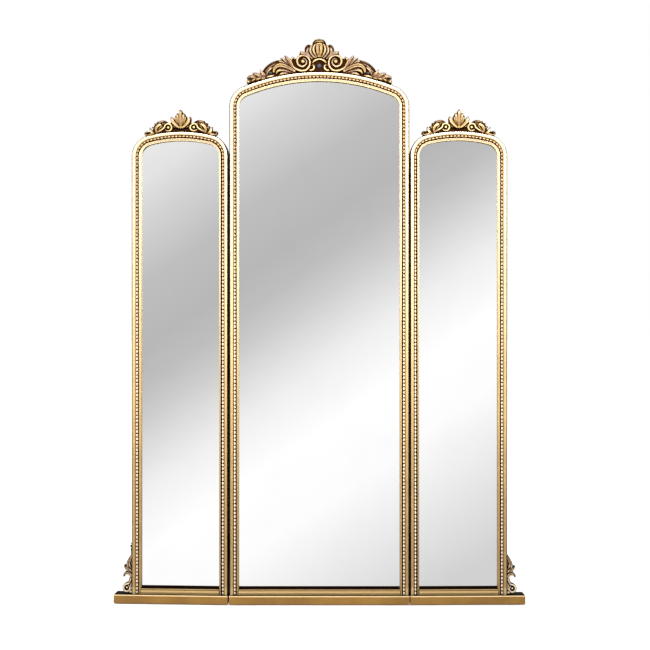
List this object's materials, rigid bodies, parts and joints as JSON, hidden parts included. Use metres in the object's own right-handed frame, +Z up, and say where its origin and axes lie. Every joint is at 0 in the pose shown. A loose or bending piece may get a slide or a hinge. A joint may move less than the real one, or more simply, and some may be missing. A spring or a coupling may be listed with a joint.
{
  "type": "folding mirror screen",
  "caption": "Free-standing folding screen: arched mirrors in gilt beaded mouldings with carved crests, hinged at the back so that the wings fold behind the centre.",
  "frame": {"origin": "centre of the underside of the middle felt pad below the centre panel, on the floor", "axes": "+X to the viewer's right along the centre panel, +Y to the back, +Z up; the mirrors face -Y"},
  "size_m": [1.3344, 0.0715, 1.8316],
  "materials": {
    "gilt": "gilded moulding, dark brown in the hollows and on the sides",
    "plinth_gilt": "old gold on the front, dark brown on top",
    "beading": "pale gilt pearls in a dark channel",
    "carving": "cast resin, antique gold rubbed over dark brown",
    "mirror": "silvered glass",
    "board": "dark stained hardboard",
    "felt": "brown felt",
    "steel": "zinc plated",
    "hinge_brass": "antique brass"
  },
  "bodies": {
    "centre_panel": {"centre_left_stile": "gilt", "centre_right_stile": "gilt", "centre_arch_rail": "gilt", "centre_bottom_rail": "gilt", "centre_bead_strip": "beading", "centre_mirror_glass": "mirror", "centre_back_board": "board", "centre_glazing_points": "steel", "centre_plinth": "plinth_gilt", "centre_plinth_screws": "steel", "centre_foot_pads": "felt", "centre_crest": "carving", "left_lower_fixed_leaf": "hinge_brass", "left_middle_fixed_leaf": "hinge_brass", "left_upper_fixed_leaf": "hinge_brass", "right_lower_fixed_leaf": "hinge_brass", "right_middle_fixed_leaf": "hinge_brass", "right_upper_fixed_leaf": "hinge_brass", "left_hinge_pins": "hinge_brass", "right_hinge_pins": "hinge_brass", "left_fixed_leaf_screws": "hinge_brass", "right_fixed_leaf_screws": "hinge_brass"},
    "left_wing": {"left_outer_stile": "gilt", "left_inner_stile": "gilt", "left_arch_rail": "gilt", "left_bottom_rail": "gilt", "left_bead_strip": "beading", "left_mirror_glass": "mirror", "left_back_board": "board", "left_glazing_points": "steel", "left_plinth": "plinth_gilt", "left_plinth_screws": "steel", "left_foot_pads": "felt", "left_crest": "carving", "left_side_scroll": "carving", "left_lower_moving_leaf": "hinge_brass", "left_middle_moving_leaf": "hinge_brass", "left_upper_moving_leaf": "hinge_brass", "left_moving_leaf_screws": "hinge_brass"},
    "right_wing": {"right_outer_stile": "gilt", "right_inner_stile": "gilt", "right_arch_rail": "gilt", "right_bottom_rail": "gilt", "right_bead_strip": "beading", "right_mirror_glass": "mirror", "right_back_board": "board", "right_glazing_points": "steel", "right_plinth": "plinth_gilt", "right_plinth_screws": "steel", "right_foot_pads": "felt", "right_crest": "carving", "right_side_scroll": "carving", "right_lower_moving_leaf": "hinge_brass", "right_middle_moving_leaf": "hinge_brass", "right_upper_moving_leaf": "hinge_brass", "right_moving_leaf_screws": "hinge_brass"}
  },
  "joints": [
    {"name": "left_wing_fold", "type": "hinge", "parent": "centre_panel", "child": "left_wing", "pos_m": [-0.2925, 0.031, 0.77], "axis": [0, 0, -1], "range_deg": [-3, 137]},
    {"name": "right_wing_fold", "type": "hinge", "parent": "centre_panel", "child": "right_wing", "pos_m": [0.2925, 0.031, 0.77], "axis": [0, 0, 1], "range_deg": [-1, 139]}
  ]
}
